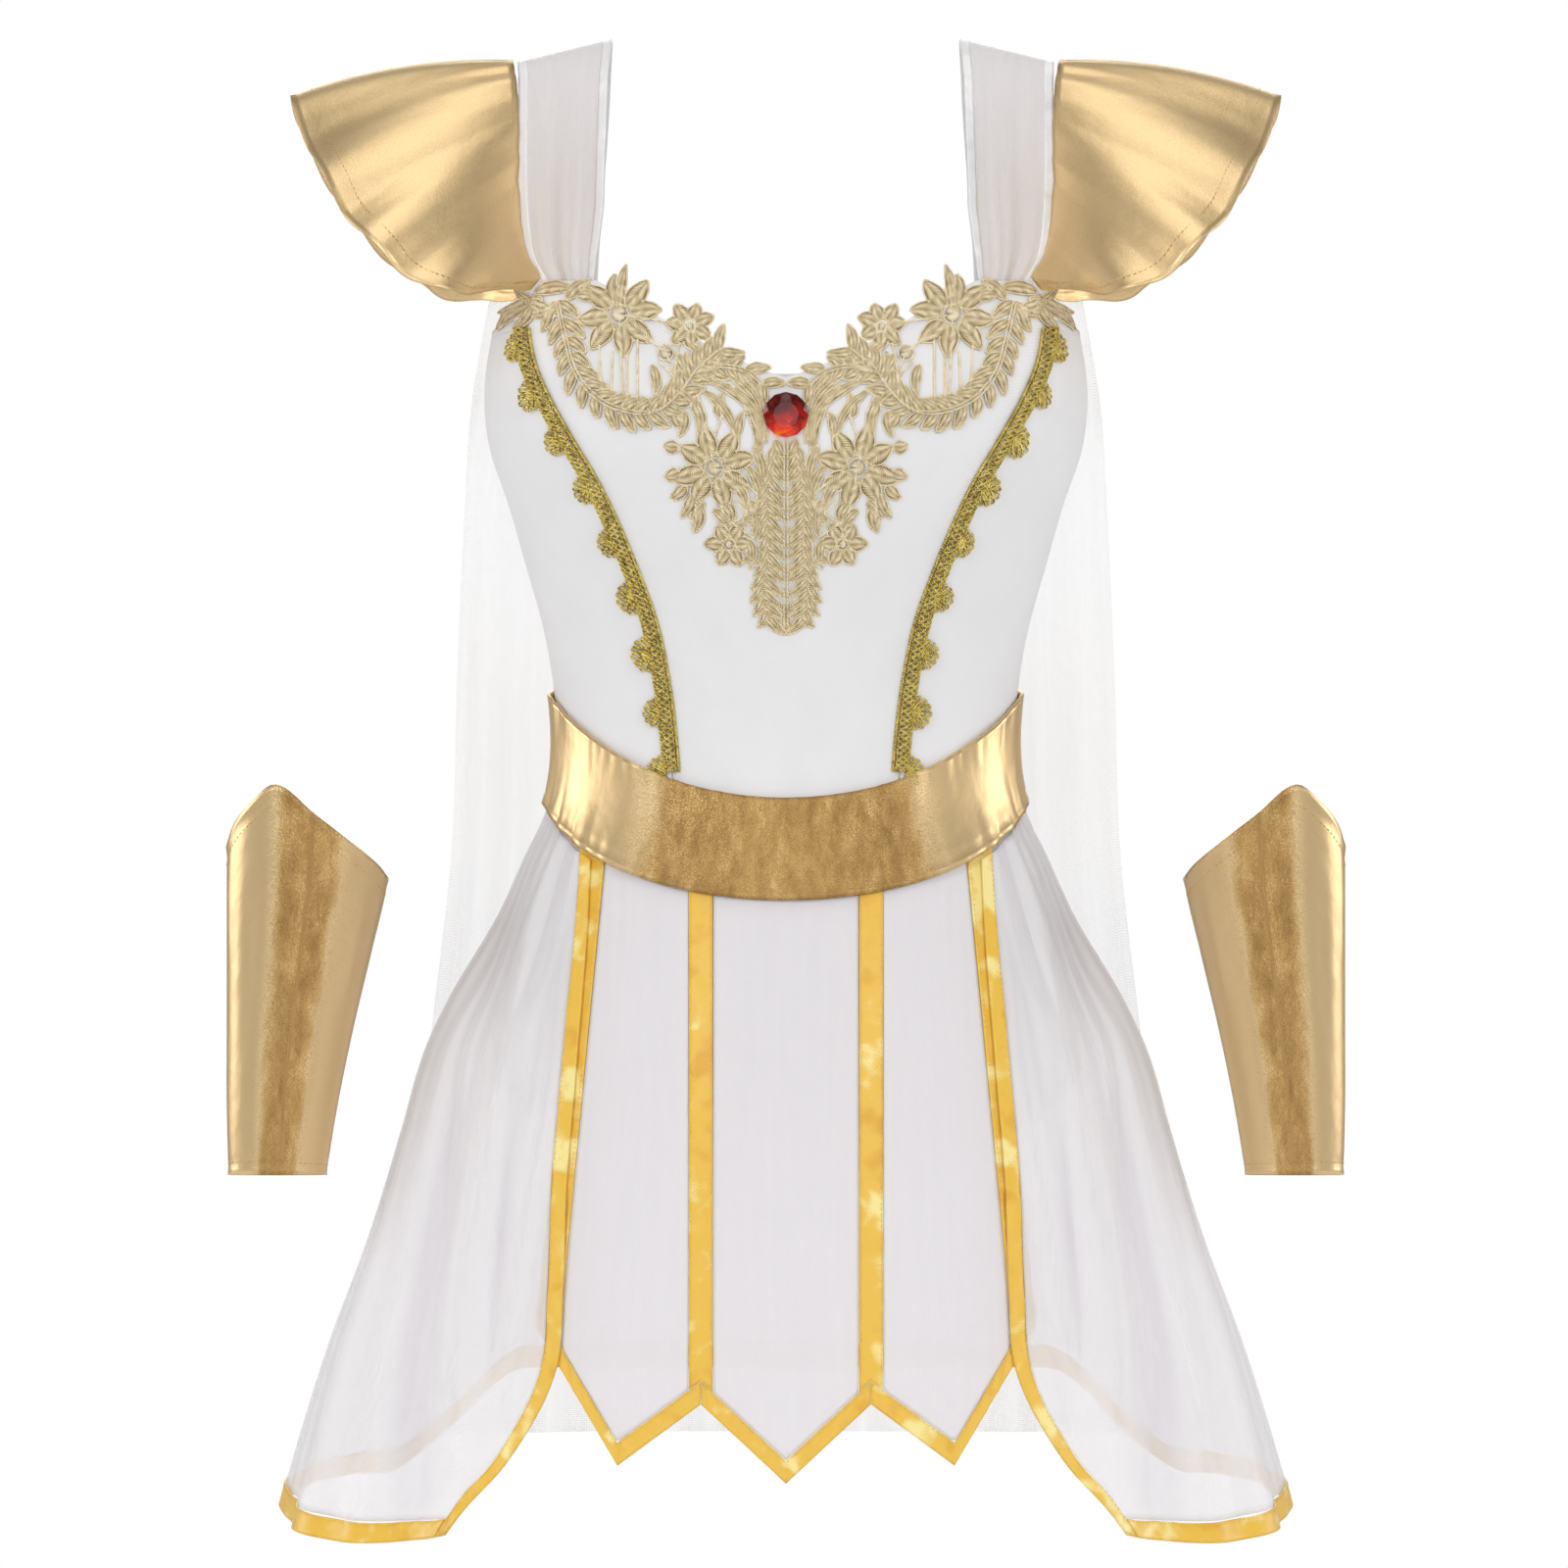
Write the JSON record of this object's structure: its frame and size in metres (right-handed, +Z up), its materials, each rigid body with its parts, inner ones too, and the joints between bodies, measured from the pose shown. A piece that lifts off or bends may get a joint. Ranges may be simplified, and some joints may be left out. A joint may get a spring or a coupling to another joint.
{
  "type": "women's Roman style stage costume: dress with cape, belt and gauntlets, worn form without wearer",
  "caption": "Women's Roman style stage dress with gold belt and shoulder caps, lace and gem, a sheer gored skirt, a back cape and matching gauntlets.",
  "frame": {"origin": "midway between the tops of the shoulder straps, where the wearer's shoulders hold the dress", "axes": "+Z up, -Y the front of the dress, +X the viewer's right seen from the front"},
  "size_m": [0.6422, 0.3782, 0.86],
  "materials": {
    "white_knit": "matte",
    "sheer_voile": "sheer",
    "gold_lame": "metallic",
    "yellow_satin": "satin",
    "guipure_lace": "satin",
    "gold_braid": "metallic",
    "red_gem": "gloss"
  },
  "bodies": {
    "root": {"bodice_front": "white_knit", "bodice_side_left": "white_knit", "bodice_side_right": "white_knit", "bodice_back": "white_knit", "bodysuit_front": "white_knit", "bodysuit_back": "white_knit", "gusset": "white_knit", "strap_left": "sheer_voile", "strap_right": "sheer_voile", "centre_gore": "sheer_voile", "side_gore_left": "sheer_voile", "side_gore_right": "sheer_voile", "side_panel_left": "sheer_voile", "side_panel_right": "sheer_voile", "back_skirt": "sheer_voile", "cape": "sheer_voile", "belt_front": "gold_lame", "belt_back": "gold_lame", "cap_left": "gold_lame", "cap_right": "gold_lame", "gauntlet_left": "gold_lame", "gauntlet_right": "gold_lame", "seam_ribbon_left": "yellow_satin", "seam_ribbon_right": "yellow_satin", "gore_edge_ribbon_left": "yellow_satin", "gore_edge_ribbon_right": "yellow_satin", "panel_edge_ribbon_left": "yellow_satin", "panel_edge_ribbon_right": "yellow_satin", "panel_hem_ribbon_left": "yellow_satin", "panel_hem_ribbon_right": "yellow_satin", "centre_hem_ribbon": "yellow_satin", "gore_hem_ribbon_left": "yellow_satin", "gore_hem_ribbon_right": "yellow_satin", "back_hem_ribbon": "yellow_satin", "lace_left": "guipure_lace", "lace_right": "guipure_lace", "lace_centre": "guipure_lace", "braid_left": "gold_braid", "braid_right": "gold_braid", "gem": "red_gem"}
  },
  "joints": []
}
